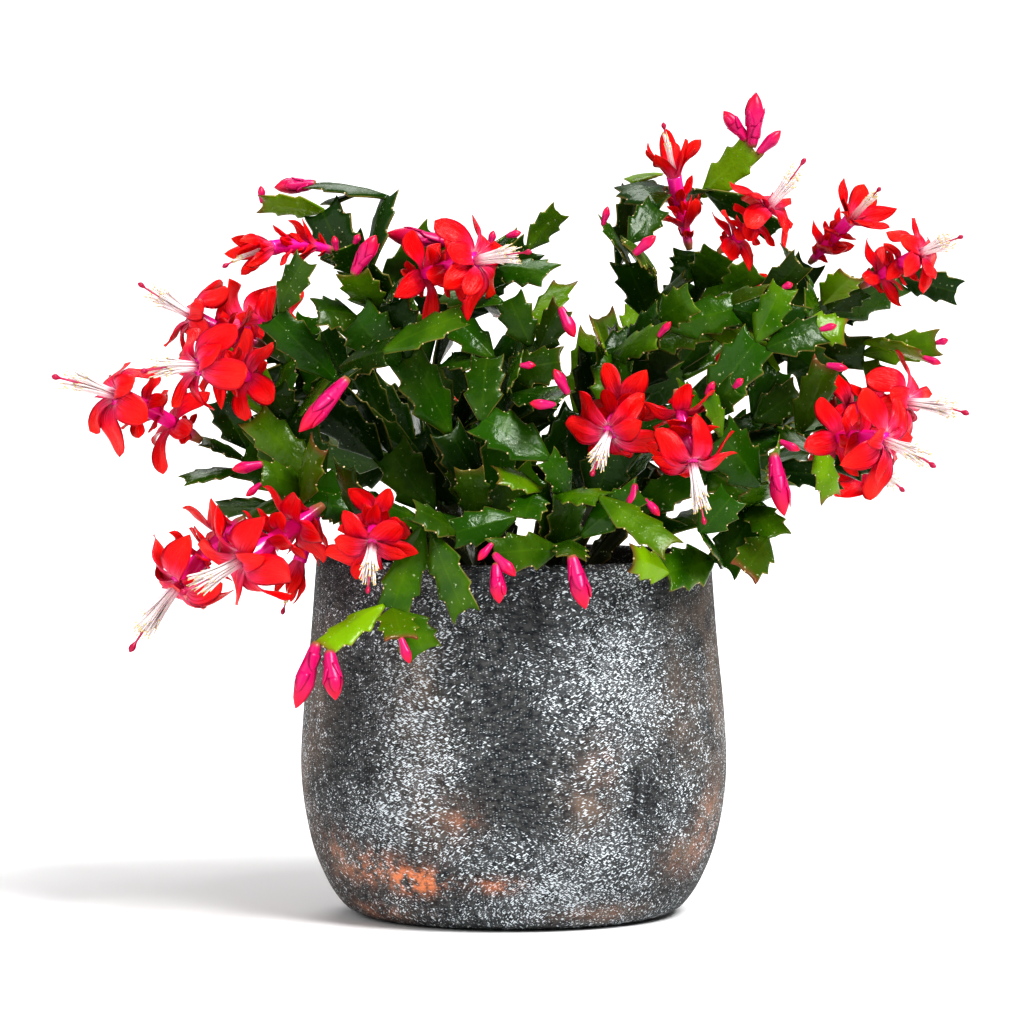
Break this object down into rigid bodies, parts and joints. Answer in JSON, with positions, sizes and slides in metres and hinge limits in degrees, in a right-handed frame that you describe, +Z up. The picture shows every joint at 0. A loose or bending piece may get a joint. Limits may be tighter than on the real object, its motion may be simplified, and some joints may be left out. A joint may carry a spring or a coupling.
{
  "type": "potted christmas cactus",
  "caption": "Flowering Christmas cactus with arching chains of flat toothed stem joints and red-pink drooping blooms, in a round-bellied dark stoneware pot.",
  "frame": {"origin": "middle of the pot's flat foot, on the surface it stands on", "axes": "+Z up along the pot's axis, -Y towards the side seen in the picture, +X to its right"},
  "size_m": [0.4095, 0.3212, 0.3707],
  "materials": {
    "pot_stoneware": "matt dark grey with fine pale flecks",
    "soil": "dark crumbly potting soil",
    "stem_green": "smooth waxy green",
    "petal_red": "thin satin petals, magenta at the base and orange red at the tips",
    "stamen_white": "white threads with cream anthers"
  },
  "bodies": {
    "root": {"pot": "pot_stoneware", "soil": "soil", "stem_01": "stem_green", "stem_02": "stem_green", "stem_03": "stem_green", "stem_04": "stem_green", "stem_05": "stem_green", "stem_06": "stem_green", "stem_07": "stem_green", "stem_08": "stem_green", "stem_09": "stem_green", "stem_10": "stem_green", "stem_11": "stem_green", "stem_12": "stem_green", "stem_13": "stem_green", "stem_14": "stem_green", "stem_15": "stem_green", "stem_16": "stem_green", "bloom_a": "petal_red", "stamens_a": "stamen_white", "bloom_b": "petal_red", "stamens_b": "stamen_white", "bloom_c": "petal_red", "stamens_c": "stamen_white", "bloom_e": "petal_red", "stamens_e": "stamen_white", "bloom_f": "petal_red", "stamens_f": "stamen_white", "bloom_g": "petal_red", "stamens_g": "stamen_white", "bloom_h": "petal_red", "stamens_h": "stamen_white", "bloom_i": "petal_red", "stamens_i": "stamen_white", "bloom_j": "petal_red", "stamens_j": "stamen_white", "bloom_k": "petal_red", "stamens_k": "stamen_white", "bloom_l": "petal_red", "stamens_l": "stamen_white", "bloom_m": "petal_red", "stamens_m": "stamen_white", "bloom_n": "petal_red", "stamens_n": "stamen_white", "bloom_o": "petal_red", "stamens_o": "stamen_white", "bloom_p": "petal_red", "stamens_p": "stamen_white", "bloom_q": "petal_red", "stamens_q": "stamen_white", "bloom_r": "petal_red", "stamens_r": "stamen_white", "bloom_s": "petal_red", "stamens_s": "stamen_white", "bloom_t": "petal_red", "stamens_t": "stamen_white", "bloom_u": "petal_red", "stamens_u": "stamen_white", "bloom_v": "petal_red", "stamens_v": "stamen_white"}
  },
  "joints": []
}
